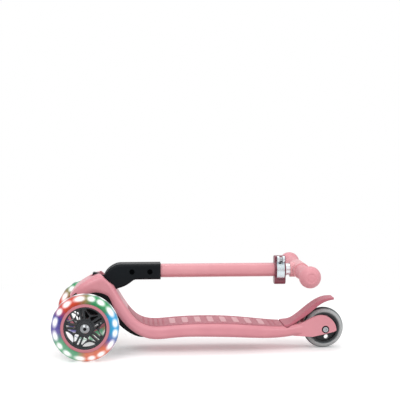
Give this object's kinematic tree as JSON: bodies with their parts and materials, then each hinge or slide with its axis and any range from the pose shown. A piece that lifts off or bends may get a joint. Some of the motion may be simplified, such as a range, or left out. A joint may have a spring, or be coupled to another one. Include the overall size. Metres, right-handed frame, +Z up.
{
  "type": "folding kick scooter",
  "caption": "Folding lean-to-steer kick scooter with lit front wheels, a rear wheel under a foot brake, a tread deck and a sliding T handlebar, folded flat.",
  "frame": {"origin": "on the floor under the middle of the folded scooter's length and width", "axes": "+X towards the rear wheel, +Y towards the rider's right, +Z up"},
  "size_m": [0.538, 0.2644, 0.174],
  "materials": {
    "pink_plastic": "satin moulded plastic",
    "pink_paint": "pink coat on aluminium tube",
    "pink_grip": "soft rubber",
    "rose_mat": "soft tread rubber",
    "rose_plastic": "satin moulded plastic",
    "dark_rose_plastic": "moulded plastic",
    "black_plastic": "satin black",
    "grey_plastic": "dark grey moulding",
    "clear_tyre": "clear cast polyurethane",
    "smoke_tyre": "smoky cast polyurethane",
    "light_ring": "light carrier",
    "rubber": "steering bush",
    "steel": "plated steel",
    "black_steel": "black plated steel",
    "chrome": "bright plated cap",
    "aluminium": "satin aluminium"
  },
  "bodies": {
    "deck": {"deck_body": "pink_plastic", "tread_mat": "rose_mat", "arch_liner": "black_plastic", "hinge_bracket": "steel", "bracket_bolts": "steel", "hinge_pin": "steel", "kingpin_bolt": "steel", "kingpin_washer": "steel", "steering_bush": "rubber", "rear_axle_bolt": "steel", "rear_axle_nut": "steel", "rear_spacers": "aluminium", "rear_washers": "black_steel", "brake_pin": "steel", "brake_spring": "steel"},
    "lock": {"lock_button": "black_plastic", "lock_bar": "steel"},
    "front_axle": {"axle_beam": "black_plastic", "axle_shaft": "steel", "axle_sleeves": "aluminium", "axle_bolts": "chrome"},
    "front_wheel_left": {"front_tyre_left": "clear_tyre", "front_rim_left": "pink_plastic", "front_core_left": "grey_plastic", "front_lights_left": "light_ring", "front_bearings_left": "steel", "front_sleeve_left": "aluminium"},
    "front_wheel_right": {"front_tyre_right": "clear_tyre", "front_rim_right": "pink_plastic", "front_core_right": "grey_plastic", "front_lights_right": "light_ring", "front_bearings_right": "steel", "front_sleeve_right": "aluminium"},
    "rear_wheel": {"rear_tyre": "smoke_tyre", "rear_core": "grey_plastic", "rear_bearings": "steel", "rear_sleeve": "aluminium"},
    "brake": {"brake_fender": "rose_plastic", "brake_wear_plate": "steel"},
    "column": {"stem_tube": "pink_paint", "hinge_shell_left": "black_plastic", "hinge_shell_right": "black_plastic", "shell_bolts": "black_steel", "shell_nuts": "black_steel", "hinge_tongue": "steel", "clamp_collar": "dark_rose_plastic", "clamp_bolt": "steel", "clamp_nut": "steel"},
    "lever": {"clamp_lever": "aluminium", "lever_pin": "steel"},
    "handlebar": {"inner_tube": "aluminium", "tube_guide": "black_plastic", "cross_bar": "aluminium", "bar_tee": "pink_plastic", "grip_left": "pink_grip", "grip_right": "pink_grip"}
  },
  "joints": [
    {"name": "fold_hinge", "type": "hinge", "parent": "deck", "child": "column", "pos_m": [-0.1593, 0, 0.1344], "axis": [0, -1, 0], "range_deg": [0, 82]},
    {"name": "handlebar_height", "type": "slide", "parent": "column", "child": "handlebar", "axis": [1, 0, 0], "range_m": [0, 0.1]},
    {"name": "clamp_lever_swing", "type": "hinge", "parent": "column", "child": "lever", "pos_m": [0.1485, -0.017, 0.1678], "axis": [-1, 0, 0], "range_deg": [0, 110]},
    {"name": "lock_slide", "type": "slide", "parent": "deck", "child": "lock", "axis": [-0.9848, 0, 0.1736], "range_m": [0, 0.0031]},
    {"name": "lean_steer", "type": "hinge", "parent": "deck", "child": "front_axle", "pos_m": [-0.195, 0, 0.074], "axis": [-0.6428, 0, 0.766], "range_deg": [-10, 10], "stiffness_Nm_per_rad": 12},
    {"name": "front_wheel_left_spin", "type": "hinge", "parent": "front_axle", "child": "front_wheel_left", "pos_m": [-0.209, -0.0975, 0.06], "axis": [0, 1, 0], "continuous": true},
    {"name": "front_wheel_right_spin", "type": "hinge", "parent": "front_axle", "child": "front_wheel_right", "pos_m": [-0.209, 0.0975, 0.06], "axis": [0, 1, 0], "continuous": true},
    {"name": "rear_wheel_spin", "type": "hinge", "parent": "deck", "child": "rear_wheel", "pos_m": [0.231, 0, 0.038], "axis": [0, 1, 0], "continuous": true},
    {"name": "brake_press", "type": "hinge", "parent": "deck", "child": "brake", "pos_m": [0.175, 0, 0.038], "axis": [0, 1, 0], "range_deg": [0, 3.4], "stiffness_Nm_per_rad": 6, "springref_deg": -2.86, "deforming": ["brake_spring"]}
  ]
}
